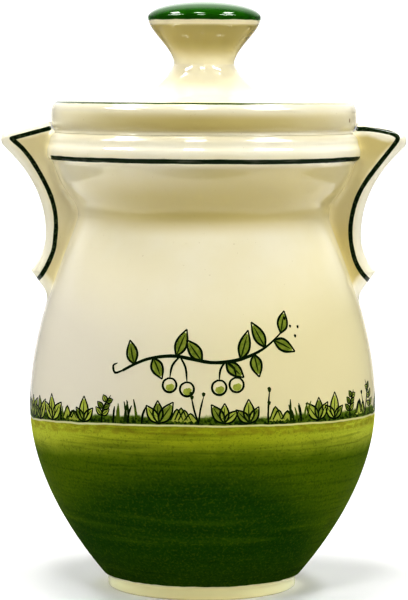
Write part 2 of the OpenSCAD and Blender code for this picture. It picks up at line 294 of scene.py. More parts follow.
def pot_side(r, z):
    """Distance from the pot's outside, in millimetres, positive outside, near the outside only."""
    every_second = outside[::2]
    best = np.full(r.shape, 1e9)
    side = np.zeros(r.shape)
    for start, end in zip(every_second[:-1], every_second[1:]):
        er, ez, dr, dz = nearest_on(r, z, start, end)
        d = er * er + ez * ez
        nearer = d < best
        best = np.where(nearer, d, best)
        side = np.where(nearer, er * dz - ez * dr, side)
    return np.sqrt(best) * np.where(side < 0, -1, 1)


def line_distance(x, z, line, closed=False):
    """Distance in the plane from points to a line of points; negative inside a closed one."""
    ends = np.vstack([line, line[:1]]) if closed else line
    best = np.full(x.shape, 1e9)
    inside = np.zeros(x.shape, bool)
    for start, end in zip(ends[:-1], ends[1:]):
        ex, ez, dx, dz = nearest_on(x, z, start, end)
        best = np.minimum(best, ex * ex + ez * ez)
        crosses = (start[1] > z) != (end[1] > z)
        at = start[0] + (z - start[1]) * dx / (dz if dz else 1e-12)
        inside ^= crosses & (x < at)
    best = np.sqrt(best)
    return np.where(inside, -best, best) if closed else best


def lug_top_z(x):
    """Height of a lug's top edge, which falls towards the tip."""
    return RIM_Z + LUG_RISE - (x - LID_R) * math.tan(math.radians(LUG_FALL))


def lug_from_front():
    """The right lug seen from the front: top, tip, hollow, heel and lower end, closed well inside the pot."""
    hollow = np.array([WAIST_R + LUG_WEB, WAIST_Z - LUG_DROP])
    tip_x = RIM_R + LUG_REACH - LUG_TIP_R
    tip = np.array([tip_x, lug_top_z(tip_x) - LUG_TIP_R / math.cos(math.radians(LUG_FALL))])
    tip_end = tip + polar(TIP_LEAN - 90, LUG_TIP_R)
    heel_centre = hollow + np.array([HEEL_R, 0])
    heel_turn = math.degrees(math.asin(HEEL_DROP / HEEL_R))
    heel = heel_centre - polar(heel_turn, HEEL_R)
    edge = np.vstack([
        [(x, lug_top_z(x)) for x in np.linspace(LUG_PATH_R - 6, tip[0], 8)],
        oval(tip, LUG_TIP_R, LUG_TIP_R, 90 - LUG_FALL, TIP_LEAN - 90, 14),
        curve(tip_end, tip_end - polar(90 - TIP_LEAN, TIP_PULL), hollow + [0, LUG_PULL], hollow, 40)[1:],
        oval(heel_centre, HEEL_R, HEEL_R, 180, 180 + heel_turn, 20)[1:],
        [heel + polar(180 + END_SLANT, s) for s in (4, 12, 24)],
    ])
    inside_x = 60
    return np.vstack([edge, [(inside_x, edge[-1][1]), (inside_x, edge[0][1])]])


lug_outline = lug_from_front()

# The slip that runs a lug into the pot: how wide it blends, how far from the lug it may reach, and over what height
# it fades out. There the lug sinks under the pot's outside, and its root ends inside the wall.
SLIP_W, SLIP_REACH, SLIP_FADE, SUNK, ROOT = 6.0, 8.0, 0.08, 0.35, 2.5


def lug_field(x, y, z):
    """Distance of points from the lug and from the pot, in millimetres, and from the two run together with slip."""
    flat = line_distance(x, z, lug_outline, closed=True) + LUG_EDGE_R
    thick = np.abs(y) - LUG_T / 2 + LUG_EDGE_R
    lug = np.minimum(np.maximum(flat, thick), 0) + np.hypot(np.maximum(flat, 0), np.maximum(thick, 0)) - LUG_EDGE_R
    r = np.hypot(x, y)
    pot = pot_side(r, z)
    near = np.maximum(SLIP_W - np.abs(lug - pot), 0) / SLIP_W
    joined = np.minimum(lug, pot) - near**3 * SLIP_W / 6
    across = np.maximum(r - LID_R + LID_UNDERCUT, 0) / (LID_UNDERCUT + LUG_GAP)
    down = np.maximum(SEAT_Z + LID_UNDERCUT_H - z, 0) / (LID_UNDERCUT_H + LUG_GAP)
    under_lid = (1 - np.hypot(across, down)) * LID_UNDERCUT
    return np.maximum(lug, under_lid), pot, np.maximum(joined, under_lid)


def lug_surface(x, y, z):
    """The lug with its slip, sunk under the pot's outside where the slip has run out."""
    lug, pot, joined = lug_field(x, y, z)
    shown = np.clip((pot - joined) / SLIP_FADE, 0, 1)
    sunk = joined + SUNK * (1 - shown * shown * (3 - 2 * shown))
    return np.maximum(np.maximum(sunk, -ROOT - pot), lug - SLIP_REACH)


def netted(field, low, high, step):
    """Closed mesh round the places where a field is negative, one point in each cell that its surface crosses."""
    axes = [np.arange(a, b + step, step) for a, b in zip(low, high)]
    gx, gy, gz = np.meshgrid(*axes, indexing="ij")
    v = field(gx, gy, gz)
    shape = tuple(n - 1 for n in v.shape)
    total = np.zeros(shape + (3,))
    count = np.zeros(shape)
    corners = [(i, j, k) for i in (0, 1) for j in (0, 1) for k in (0, 1)]

    def part(offset):
        return v[tuple(slice(o, o + n) for o, n in zip(offset, shape))]

    # a cell's point is the middle of the places where its edges cross the surface
    for a in corners:
        for axis in range(3):
            if a[axis]:
                continue
            b = tuple(1 if i == axis else a[i] for i in range(3))
            va, vb = part(a), part(b)
            hit = (va < 0) != (vb < 0)
            t = np.where(hit, va / np.where(hit, va - vb, 1), 0)
            place = np.zeros(shape + (3,))
            for i in range(3):
                place[..., i] = a[i]
            place[..., axis] = t
            total += place * hit[..., None]
            count += hit
    active = count > 0
    ids = np.full(shape, -1)
    ids[active] = np.arange(active.sum())
    cell = np.argwhere(active)
    points = (cell + total[active] / count[active][:, None]) * step + np.array(low)

    # a face for each crossed edge, through the points of the four cells round it
    faces = []
    for axis in range(3):
        u, w = [(1, 2), (2, 0), (0, 1)][axis]
        lower = [slice(1, -1)] * 3
        lower[axis] = slice(0, -1)
        upper = list(lower)
        upper[axis] = slice(1, None)
        va, vb = v[tuple(lower)], v[tuple(upper)]
        for goes_out in (True, False):
            hit = np.argwhere((va < 0) & (vb >= 0) if goes_out else (va >= 0) & (vb < 0))
            at = hit + 1
            at[:, axis] -= 1
            quad = []
            for du, dw in ((-1, -1), (0, -1), (0, 0), (-1, 0)):
                c = at.copy()
                c[:, u] += du
                c[:, w] += dw
                quad.append(ids[c[:, 0], c[:, 1], c[:, 2]])
            quad = np.column_stack(quad)
            faces.append(quad if goes_out else quad[:, ::-1])
    return points, np.vstack(faces)


def settle(points, field, times=3, e=0.05):
    """Moves points onto the place where the field is nothing."""
    flattest, longest = 0.3, 0.5
    for _ in range(times):
        x, y, z = points.T
        f = field(x, y, z)
        slope = np.column_stack([
            field(x + e, y, z) - field(x - e, y, z),
            field(x, y + e, z) - field(x, y - e, z),
            field(x, y, z + e) - field(x, y, z - e),
        ]) / (2 * e)
        steep = np.maximum((slope * slope).sum(1), flattest)
        points = points - np.clip(f / steep, -longest, longest)[:, None] * slope
    return points


lug_low, lug_high = (62.0, -17.0, 150.0), (109.0, 17.0, 250.0)
lug_step = 0.75
lug_points, lug_faces = netted(lug_surface, lug_low, lug_high, lug_step)
lug_points = settle(lug_points, lug_surface)


def give_values(mesh, title, values):
    """A number for each point of a mesh, under a title that node trees can read."""
    attribute = mesh.attributes.new(title, "FLOAT", "POINT")
    attribute.data.foreach_set("value", values.astype(np.float32))


def lug_piece(name, side, brush_line):
    """A lug on one side, with the distances that its glaze needs: from the painted line and from its edge."""
    points = lug_points * [side, 1, 1]
    faces = lug_faces[:, ::-1] if side < 0 else lug_faces
    piece = add_piece(name, points, faces.tolist(), sharp=0)
    x, z = lug_points[:, 0], lug_points[:, 2]
    near = np.minimum.reduce([line_distance(x, z, curve_through(part)) for part in brush_line])
    depth = -line_distance(x, z, lug_outline, closed=True)
    give_values(piece.data, "brush_line", near * MM)
    give_values(piece.data, "edge_depth", depth * MM)
    return piece


# Each lug's line as it was drawn freehand: along the top to the corner, then down to the heel
left_line = [
    [(81.8, 244.9), (92.0, 242.1), (101.8, 239.4)],
    [
        (101.8, 239.4), (96.3, 234.6), (92.1, 229.5), (88.6, 224.1), (85.4, 218.6), (82.2, 212.2), (80.0, 206.1),
        (78.6, 200.0), (78.2, 193.6), (78.6, 186.5), (79.6, 180.1), (82.2, 173.6), (85.4, 167.8), (87.9, 164.8),
    ],
]
right_line = [
    [
        (81.5, 245.2), (86.0, 245.2), (92.4, 244.5), (98.2, 243.4), (101.7, 242.0), (102.7, 240.4), (101.1, 237.5),
        (97.6, 233.0), (93.8, 228.1), (89.4, 222.4), (85.6, 216.9), (82.4, 211.1), (80.2, 205.3), (78.7, 198.8),
        (78.0, 192.4), (78.3, 186.0), (79.5, 179.5), (81.5, 173.7), (84.4, 168.9), (87.9, 165.0),
    ],
]

pot = turned("glazed_pot", pot_outline)
lid = turned("glazed_lid", lid_outline, closed=True)
knob = turned("glazed_knob", knob_outline, KNOB_ROUND, closed=True)
left_lug = lug_piece("left_lug", -1, left_line)
right_lug = lug_piece("right_lug", 1, right_line)

# Brushwork, drawn flat: the first number runs along the girth to the right, the second is the height
GIRTH_R = 92.6

# The green's edge: its height at the front, how far it sinks as the wall turns away (by 1 - cosine), how much less on
# the right, where it has sunk enough and runs level, and how soon right and left differ
EDGE_Z, EDGE_SINK, EDGE_LESS, EDGE_LEVEL, EDGE_TURN = 96.9, 4.95, 2.05, 0.75, 2.5


def border_height(along):
    """Height of the green's edge at a place along the girth: it sinks from the front, more on the left."""
    turn = along / GIRTH_R
    to_right = max(-1.0, min(1.0, EDGE_TURN * math.sin(turn)))
    return EDGE_Z - min(1 - math.cos(turn), EDGE_LEVEL) * (EDGE_SINK - EDGE_LESS * to_right)


# Shades of a stroke, from ink to thin wash, and how thick it lies, in millimetres
INK, SOFT_INK, WASH, THIN_WASH = 0.0, 0.1, 0.5, 0.6
LINE_LIFT, WASH_LIFT = 0.1, 0.05


class Brush:
    """Gathers brush strokes, each a line of points with its half width, shade and thickness."""

    def __init__(self, seed):
        self.dice = random.Random(seed)
        self.points = []
        self.edges = []
        self.values = {"half_width": [], "shade": [], "lift": []}

    def near(self, value, spread):
        """A value that hand work varies by a spread to either side."""
        return value + self.dice.uniform(-spread, spread)

    def stroke(self, path, width, shade=INK, lift=LINE_LIFT, ends=(0.7, 0.35), steps=3):
        """A stroke that starts and ends thinner than it is in its middle."""
        pressing, lifting, tremble = 0.3, 0.35, 0.07
        path = curve_through(path, steps)
        first = len(self.points)
        last = len(path) - 1
        for k, place in enumerate(path):
            t = k / last
            rise = min(t / pressing, 1.0)
            fall = min((1 - t) / lifting, 1.0)
            press = (ends[0] + (1 - ends[0]) * rise) * (ends[1] + (1 - ends[1]) * fall)
            self.points.append(tuple(place))
            self.values["half_width"].append(width / 2 * press * self.near(1.0, tremble))
            self.values["shade"].append(shade)
            self.values["lift"].append(lift)
            if k:
                self.edges.append((first + k - 1, first + k))

    def leaf(self, base, angle, length, width, line, wash):
        """A leaf in outline with a vein, washed inside."""
        base = np.array(base, float)
        way = polar(angle, length)
        side = polar(angle + 90, width / 2)
        bend = polar(angle + 90, self.near(0, 0.08) * length)
        tip = base + way + bend

        def at(t, s):
            return base + way * t + bend * t * t + side * s

        self.stroke([at(0.08, 0), at(0.45, 0), at(0.86, 0)], width * 0.9, wash, WASH_LIFT, (0.35, 0.3))
        for s in (1, -1):
            self.stroke([base, at(0.3, 0.9 * s), at(0.62, 0.85 * s), tip], line, ends=(0.8, 0.6))
        self.stroke([at(0.05, 0), at(0.4, 0.05), at(0.78, 0)], line * 0.7, SOFT_INK)

    def cherry(self, centre, radius, line):
        """A cherry in outline, with a wash on its shadow side."""
        def at(across, up):
            return centre[0] + radius * across, centre[1] + radius * up

        ring = [at(math.cos(a), math.sin(a)) for a in np.radians(np.arange(100, 470, 46))]
        self.stroke([at(-0.5, -0.2), at(0.1, -0.35), at(0.5, 0.1)], radius * 1.1, THIN_WASH, WASH_LIFT, (0.5, 0.5))
        self.stroke(ring, line, ends=(0.8, 0.7))

    def dot(self, place, size, shade=INK):
        """A dab of the brush's tip."""
        x, y = place
        flat = [(x - size * 0.3, y), (x, y + size * 0.08), (x + size * 0.3, y)]
        self.stroke(flat, size, shade, ends=(0.6, 0.6), steps=2)


# Which point of the branch's stem each leaf grows from, with its direction and length
BRANCH_LEAVES = (
    (2, 112, 13), (5, -66, 11), (8, 64, 15), (11, 122, 13.5), (14, -42, 12.5), (16, 70, 15), (18, -84, 11),
    (20, 116, 14.5), (22, -18, 13.5), (24, 66, 11),
)
# Places on the stem where cherries hang, and the cherries' middles
BRANCH_CHERRIES = (((-12, 132), ((-17, 117.5), (-8.0, 115.6))), ((12, 129.6), ((8.5, 116.5), (17.5, 117.8))))


def fruiting_branch(brush):
    """The branch with leaves and cherries on the front of the belly."""
    stem = curve_through([(-43, 124), (-30, 130), (-14, 132), (4, 129), (20, 130.5), (34, 136), (44, 143)], 4)
    brush.stroke(stem[::2], 2.0, ends=(0.7, 0.4))
    for place, angle, length in BRANCH_LEAVES:
        brush.leaf(stem[place], brush.near(angle, 5), brush.near(length, 0.7), 6.0, 1.35, WASH)
    for top, fruits in BRANCH_CHERRIES:
        for x, y in fruits:
            bow = ((top[0] + x) / 2 + (x - top[0]) * 0.28, (top[1] + y) / 2 + 2.5)
            brush.stroke([top, bow, (x, y + 3.4)], 1.3)
            brush.cherry((x, y), brush.near(3.6, 0.2), 1.3)
    brush.stroke([(-43, 124), (-47.5, 122.5), (-49, 126), (-46.5, 127.5)], 1.4)
    for place in ((50.5, 146), (53, 141), (47.5, 150), (55.5, 145.5)):
        brush.dot(place, brush.near(1.9, 0.2))


def grass(brush, along, foot):
    """A tuft of a few blades."""
    for _ in range(brush.dice.randint(3, 4)):
        x = along + brush.dice.uniform(0, 5)
        tall = brush.dice.uniform(6, 12)
        lean = brush.near(0, 2.6)
        shade = brush.dice.choice((INK, SOFT_INK, 0.4))
        brush.stroke([(x, foot), (x + lean * 0.3, foot + tall * 0.55), (x + lean, foot + tall)], 1.3, shade)


def frond(brush, along, foot):
    """An arching stem with pairs of leaves that get smaller upwards."""
    x = along + 5
    tall = brush.dice.uniform(13, 19)
    lean = brush.dice.choice((-1, 1)) * brush.dice.uniform(4, 7)
    stem = curve_through([(x, foot), (x + lean * 0.15, foot + tall * 0.5), (x + lean, foot + tall)], 4)
    brush.stroke(stem[::2], 1.1)
    for k in range(2, len(stem) - 1, 2):
        for side in (-1, 1):
            angle = 90 - lean * 4 * k / len(stem) + side * brush.near(52, 6)
            brush.leaf(stem[k], angle, 6.6 - 0.4 * k, 2.8, 0.75, brush.dice.choice((0.45, THIN_WASH)))


def broad_leaves(brush, along, foot):
    """Three broad leaves from one root."""
    for angle in (brush.near(132, 7), brush.near(94, 7), brush.near(52, 7)):
        tall = brush.dice.uniform(9, 14)
        brush.leaf((along + 6, foot), angle, tall, tall * 0.46, 1.1, brush.dice.choice((WASH, 0.65)))


def berries(brush, along, foot):
    """Three thin stalks, each with a berry on its tip."""
    x = along + 4
    for _ in range(3):
        tip = (x + brush.near(0, 4.5), foot + brush.dice.uniform(9, 17))
        brush.stroke([(x, foot), ((x + tip[0]) / 2 - 0.4, (foot + tip[1]) / 2), tip], 1.0)
        brush.dot((tip[0], tip[1] + 0.8), 2.6, SOFT_INK)


def low_growth(brush, along, foot):
    """Low washed mounds, each with a line over it."""
    for _ in range(4):
        x = along + brush.dice.uniform(0, 8)
        top = foot + brush.dice.uniform(3.5, 7)
        mound = [(x - 2.4, foot + 1), (x, top), (x + 2.4, foot + 1)]
        brush.stroke(mound, 3.4, THIN_WASH, WASH_LIFT, (0.6, 0.6), 2)
        brush.stroke([(x - 3.2, foot + 1.6), (x, top + 1.6), (x + 3.2, foot + 1.6)], 1.0, 0.05)


# The border's plants: how often each comes, the room that it takes, and the play in that room
PLANTS = (
    (grass, 3, 6.5, 1),
    (frond, 1.6, 11, 2),
    (broad_leaves, 4, 13, 2),
    (berries, 2, 9, 2),
    (low_growth, 2.4, 8, 1.5),
)


def border(brush):
    """Plants that stand on the green's edge, all round the pot from back to back."""
    half_round = math.pi * GIRTH_R
    along = -half_round + 2
    while along < half_round - 6:
        plant, _, room, play = brush.dice.choices(PLANTS, [row[1] for row in PLANTS])[0]
        plant(brush, along, border_height(along) + 1.4)
        along += brush.near(room, play)


# Node trees
class Wire:
    """A socket whose value can be worked with as a number."""

    def __init__(self, tree, socket):
        self.tree = tree
        self.socket = socket

    def worked(self, operation, a, b=None):
        sockets = {0: a} if b is None else {0: a, 1: b}
        return self.tree.add("ShaderNodeMath", sockets, operation=operation)

    def __add__(self, other):
        return self.worked("ADD", self, other)

    def __sub__(self, other):
        return self.worked("SUBTRACT", self, other)

    def __mul__(self, other):
        return self.worked("MULTIPLY", self, other)

    def __truediv__(self, other):
        return self.worked("DIVIDE", self, other)

    def __radd__(self, other):
        return self.worked("ADD", other, self)

    def __rsub__(self, other):
        return self.worked("SUBTRACT", other, self)

    def __abs__(self):
        return self.worked("ABSOLUTE", self)

    def most(self, other):
        return self.worked("MAXIMUM", self, other)

    def least(self, other):
        return self.worked("MINIMUM", self, other)

    def root(self):
        return self.worked("SQRT", self)

    def sine(self):
        return self.worked("SINE", self)

    def cosine(self):
        return self.worked("COSINE", self)

    def step(self, start, end):
        """0 before start, 1 after end, smooth between."""
        ends = {"Value": self, "From Min": start, "From Max": end}
        return self.tree.add("ShaderNodeMapRange", ends, interpolation_type="SMOOTHSTEP")

    def within(self, start, full, fading, end):
        """1 from full to fading, 0 before start and after end, smooth between."""
        return self.step(start, full) * (1 - self.step(fading, end))


class Tree:
    """A node tree written down node by node."""

    ROW, COLUMN_W, ROW_H = 14, 190, 230

    def __init__(self, tree):
        self.nodes = tree.nodes
        self.links = tree.links

    def add(self, kind, sockets=None, out=0, **settings):
        """A node with its settings and what goes into its sockets; gives back one output, or several for a tuple."""
        row, column = divmod(len(self.nodes), self.ROW)
        node = self.nodes.new(kind)
        node.location = (self.COLUMN_W * column, -self.ROW_H * row)
        for key, value in settings.items():
            setattr(node, key, value)
        for key, value in (sockets or {}).items():
            if isinstance(value, Wire):
                self.links.new(value.socket, node.inputs[key])
            else:
                node.inputs[key].default_value = value
        if not node.outputs:
            return None
        if isinstance(out, tuple):
            return [Wire(self, node.outputs[name]) for name in out]
        return Wire(self, node.outputs[out])


def wrapping_tree():
    """Strokes made round from their lines, laid flat and wrapped onto the pot."""
    group = bpy.data.node_groups.new("strokes_on_pot", "GeometryNodeTree")
    group.is_modifier = True
    sockets = group.interface
    sockets.new_socket("Strokes", in_out="OUTPUT", socket_type="NodeSocketGeometry")
    given = (
        ("Lines", "NodeSocketGeometry"), ("Pot", "NodeSocketObject"), ("Girth Radius", "NodeSocketFloat"),
        ("Reach", "NodeSocketFloat"), ("Sink", "NodeSocketFloat"), ("Glaze", "NodeSocketMaterial"),
    )
    for title, kind in given:
        sockets.new_socket(title, in_out="INPUT", socket_type=kind)
    tree = Tree(group)
    lines, pot_in, radius, reach, sink, finish = tree.add("NodeGroupInput", out=tuple(title for title, _ in given))

    def named(title):
        return tree.add("GeometryNodeInputNamedAttribute", {"Name": title}, data_type="FLOAT")

    curves = tree.add("GeometryNodeMeshToCurve", {0: lines})
    profile = tree.add("GeometryNodeCurvePrimitiveCircle", {"Resolution": 6, "Radius": 1.0}, mode="RADIUS")
    tubes = tree.add(
        "GeometryNodeCurveToMesh",
        {"Curve": curves, "Profile Curve": profile, "Scale": named("half_width"), "Fill Caps": True},
    )
    place = tree.add("GeometryNodeInputPosition")
    along, deep, up = tree.add("ShaderNodeSeparateXYZ", {0: place}, out=(0, 1, 2))
    turn = along / radius
    right, back = turn.sine(), turn.cosine()
    start = tree.add("ShaderNodeCombineXYZ", {0: right * reach, 1: 0 - back * reach, 2: up})
    inwards = tree.add("ShaderNodeCombineXYZ", {0: 0 - right, 1: back, 2: 0.0})
    target = tree.add("GeometryNodeObjectInfo", {"Object": pot_in}, "Geometry", transform_space="ORIGINAL")
    hit, normal = tree.add(
        "GeometryNodeRaycast",
        {"Target Geometry": target, "Source Position": start, "Ray Direction": inwards, "Ray Length": reach},
        ("Hit Position", "Hit Normal"),
        data_type="FLOAT",
    )
    height = deep.most(-0.0001).least(named("lift") * MM) - sink
    raised = tree.add("ShaderNodeVectorMath", {0: normal, "Scale": height}, operation="SCALE")
    moved = tree.add("ShaderNodeVectorMath", {0: hit, 1: raised}, operation="ADD")
    wrapped = tree.add("GeometryNodeSetPosition", {"Geometry": tubes, "Position": moved})
    done = tree.add("GeometryNodeSetMaterial", {"Geometry": wrapped, "Material": finish})
    tree.add("NodeGroupOutput", {0: done})
    return group


def painted(name, brush, finish):
    """The brush's strokes as one mesh on the pot."""
    mesh = bpy.data.meshes.new(name + "_lines")
    mesh.from_pydata([(along * MM, 0.0, height * MM) for along, height in brush.points], brush.edges, [])
    for title, values in brush.values.items():
        scale = MM if title == "half_width" else 1.0
        give_values(mesh, title, np.array(values) * scale)
    draft = in_scene(name + "_draft", mesh)
    modifier = draft.modifiers.new("wrap", "NODES")
    modifier.node_group = wrapping_tree()
    names = {item.name: item.identifier for item in modifier.node_group.interface.items_tree if item.in_out == "INPUT"}
    for title, value in (
        ("Pot", pot), ("Girth Radius", GIRTH_R * MM), ("Reach", 0.15), ("Sink", 0.03 * MM), ("Glaze", finish),
    ):
        modifier[names[title]] = value
    done = draft.evaluated_get(bpy.context.evaluated_depsgraph_get())
    result = bpy.data.meshes.new_from_object(done)
    result.name = name
    bpy.data.objects.remove(draft)
    result.shade_smooth()
    result.set_sharp_from_angle(angle=math.radians(28))
    return in_scene(name, result)


# Glazes
class Glaze(Tree):
    """A glossy glaze over clay, with its own colour, gloss and unevenness. Its places are in millimetres."""

    def __init__(self, name):
        self.material = bpy.data.materials.new(name)
        self.material.use_nodes = True
        super().__init__(self.material.node_tree)
        self.nodes.clear()
        place = self.add("ShaderNodeTexCoord", out="Object")
        self.place = self.add("ShaderNodeVectorMath", {0: place, "Scale": 1000.0}, operation="SCALE")
        self.x, self.y, self.z = self.add("ShaderNodeSeparateXYZ", {0: self.place}, out=(0, 1, 2))

    @cached_property
    def r(self):
        """Distance from the pot's axis."""
        return (self.x * self.x + self.y * self.y).root()

    @cached_property
    def off_front(self):
        """0 at the pot's front, 1 at its sides and 2 behind."""
        return 1 + self.y / self.r

    def given(self, title):
        """A number that the piece's mesh carries for each point."""
        return self.add("ShaderNodeAttribute", out="Fac", attribute_name=title)

    def mottle(self, period, detail=3.0, stretch=(1, 1, 1)):
        """Noise from 0 to 1 whose patches are about a period across, in millimetres."""
        scaled = self.add(
            "ShaderNodeVectorMath", {0: self.place, 1: [1 / (period * s) for s in stretch]}, operation="MULTIPLY"
        )
        return self.add("ShaderNodeTexNoise", {"Vector": scaled, "Scale": 1.0, "Detail": detail, "Roughness": 0.55})

    def mixed(self, share, a, b):
        """Colour a turned into colour b by a share."""
        return self.add("ShaderNodeMix", {0: share, 6: a, 7: b}, out=2, data_type="RGBA")

    def cream(self, painted_shade):
        """Cream with the pale and deep patches of a dipped glaze; the share given darkens it to a shaded cream, as
        painted shade.
        """
        colour = self.mixed(self.mottle(38, 3).step(0.35, 0.7) * 0.5, CREAM, CREAM_PALE)
        colour = self.mixed(painted_shade, colour, SHADED_CREAM)
        return self.mixed(self.mottle(1.3, 1).step(0.77, 0.8) * 0.35, colour, SPECK)

    def brush_line(self, off, half_width, end=1.2):
        """1 on a painted line that lies off by a distance, 0 past the line's half width."""
        return 1 - (off / half_width).step(0.8, end)

    def roughness(self, least=0.1, period=12, play=0.06):
        """Roughness that varies slowly over the surface."""
        return least + self.mottle(period, 3) * play

    def fired(self, colour, roughness, depth, gloss=1.0):
        """Ends the tree in a glossy surface with slow waves and throwing rings, of a depth in millimetres."""
        height = self.mottle(22, 2) * 0.8 + self.mottle(3.2, 1, (30, 30, 1)) * 0.05 + self.mottle(0.9, 2) * 0.012
        normal = self.add("ShaderNodeBump", {"Strength": 1.0, "Distance": depth * MM, "Height": height}, "Normal")
        surface = self.add("ShaderNodeBsdfPrincipled", {
            "Base Color": colour, "Roughness": roughness, "IOR": 1.5, "Specular IOR Level": 0.0,
            "Coat Weight": gloss, "Coat Roughness": 0.035, "Coat IOR": 1.55, "Normal": normal,
        })
        self.add("ShaderNodeOutputMaterial", {"Surface": surface})
        return self.material


def rgb(r, g, b):
    """A colour given in the steps of 0 to 255 that a screen shows."""
    def straight(v):
        v /= 255
        return v / 12.92 if v <= 0.04045 else ((v + 0.055) / 1.055) ** 2.4
    return (straight(r), straight(g), straight(b), 1.0)


CREAM, SHADED_CREAM, CREAM_PALE = rgb(240, 232, 200), rgb(204, 188, 126), rgb(246, 241, 222)
SPECK, FAULT_BROWN = rgb(170, 150, 100), rgb(128, 92, 52)
BELLY_SHADE_LEFT, BELLY_SHADE_RIGHT = rgb(218, 212, 194), rgb(219, 210, 168)
RIM_TOP_SHADE, ROLL_PAINTED_LIGHT = rgb(216, 208, 178), rgb(255, 252, 236)
BISQUE_FRONT, BISQUE_LIT_SIDE = rgb(236, 228, 176), rgb(255, 253, 212)
LUG_EDGE_LIGHT, LID_ROLL_SHADE, DOME_SHADE = rgb(242, 241, 230), rgb(220, 213, 188), rgb(222, 214, 186)
CONE_SHADE = rgb(158, 148, 92)
OLIVE_FRONT, OLIVE_LIT_SIDE, OLIVE_GREEN = rgb(152, 160, 40), rgb(190, 196, 84), rgb(80, 100, 6)
DEEP_GREEN, FOOT_GREEN = rgb(32, 66, 2), rgb(58, 82, 4)
STREAK_DARK, STREAK_LIGHT = rgb(22, 54, 2), rgb(104, 124, 12)
GRAIN_LIGHT, GRAIN_DARK = rgb(112, 116, 12), rgb(12, 42, 0)
BAND_BROWN, BARE_LINE = rgb(124, 112, 34), rgb(186, 190, 110)
DAB_DARK, DAB_LIGHT = rgb(20, 44, 6), rgb(110, 130, 40)
CAP_MIDDLE, CAP_EDGE, CAP_DARK = rgb(40, 108, 4), rgb(34, 90, 6), rgb(16, 62, 8)
LINE_GREEN, LID_LINE_GREEN = rgb(20, 42, 10), rgb(56, 80, 16)
INK_GREEN, THINNED_GREEN, WASH_GREEN = rgb(20, 40, 10), rgb(78, 98, 20), rgb(172, 178, 84)


# Heights on the pot between which its painted shade and light change: start, full, fading and end of each zone
NECK_SHADE_ZONE = (189.5, 202.5, 225.5, 228.8)
BETWEEN_ROLLS = (232, 234, 238.2, 241.2)
RIM_TOP_SHADE_ZONE = (238.2, 241.2, 243.2, 243.6)
# Height of the line round the rim band, how far the lid's line runs in from its edge, and the place of its one fault
RIM_LINE_Z, LID_LINE_IN, FAULT_PLACE = 229.9, 3.3, (76.2, -28.4, 250.0)


def pot_cream(glaze, to_right):
    """The pot's cream, with painted shade under the rim, on the belly and the rim's top, painted light between the
    rolls, and bare clay on the foot ring.
    """
    z, r, off_front = glaze.z, glaze.r, glaze.off_front
    # painted shade in the neck's hollow under the rim, lighter towards its top and its sides, less so on the right
    less_shade_above = 1 - z.step(210, 228) * (0.78 - to_right * 0.6)
    hollow = z.within(*NECK_SHADE_ZONE) * less_shade_above * r.step(60, 66)
    colour = glaze.cream(hollow * (0.95 - off_front.least(0.55) * (1.15 - to_right * 0.7)))
    # painted shade: the belly darker lower down and at its sides, cooler on the left and warmer on the right
    belly = (1 - z.step(128, 196)) * 0.9 + off_front.least(0.5) * (1 - z.step(190, 202)) * 0.6
    colour = glaze.mixed(belly.least(1.0), colour, glaze.mixed(to_right, BELLY_SHADE_LEFT, BELLY_SHADE_RIGHT))
    # painted shade on the rim's top, and painted light between its two rolls
    colour = glaze.mixed(z.within(*RIM_TOP_SHADE_ZONE) * 0.7, colour, RIM_TOP_SHADE)
    colour = glaze.mixed(z.within(*BETWEEN_ROLLS) * 0.3, colour, ROLL_PAINTED_LIGHT)
    # the bare foot ring, painted lighter at its sides
    bisque_and_side_light = glaze.mixed((off_front * 1.6).least(1.0), BISQUE_FRONT, BISQUE_LIT_SIDE)
    return glaze.mixed(1 - z.step(6, 8), colour, bisque_and_side_light)


def pot_green(glaze, depth, to_right):
    """The brushed green, by its depth below its own edge: olive above, deeper the lower it lies, partly painted shade.
    """
    z, off_front = glaze.z, glaze.off_front
    wave = glaze.mottle(20, 2) * 5 + glaze.mottle(6, 2) * 3 - 4
    streak = glaze.mottle(2.2, 4, (26, 26, 1))
    broad = glaze.mottle(7, 3, (14, 14, 1))
    speckle = glaze.mottle(2.0, 3, (2.5, 2.5, 1))
    grain = glaze.mottle(1.2, 2)
    low = depth + wave
    # painted light: the deep green starts lower at the sides and on the right, and the olive is lighter at the sides
    lit_sides_stretch = 1 + off_front.least(1.0) * (1.6 + to_right * 1.6)
    band = (1 - (depth + wave * 0.3).step(3.6, 5.6)) * speckle.step(0.35, 0.6)
    green = glaze.mixed(off_front.least(0.6), OLIVE_FRONT, OLIVE_LIT_SIDE)
    for share, colour in (
        (low.step(5, 20), OLIVE_GREEN),
        ((low / lit_sides_stretch).step(13, 36), DEEP_GREEN),
        ((1 - z.step(8, 34)) * 0.4, FOOT_GREEN),
        (streak.step(0.45, 0.72) * 0.4, STREAK_DARK),
        (broad.step(0.52, 0.75) * 0.22, STREAK_LIGHT),
        (grain.step(0.5, 0.72) * 0.24, GRAIN_LIGHT),
        ((1 - grain.step(0.3, 0.48)) * 0.3, GRAIN_DARK),
        (band * 0.5, BAND_BROWN),
    ):
        green = glaze.mixed(share, green, colour)
    return green


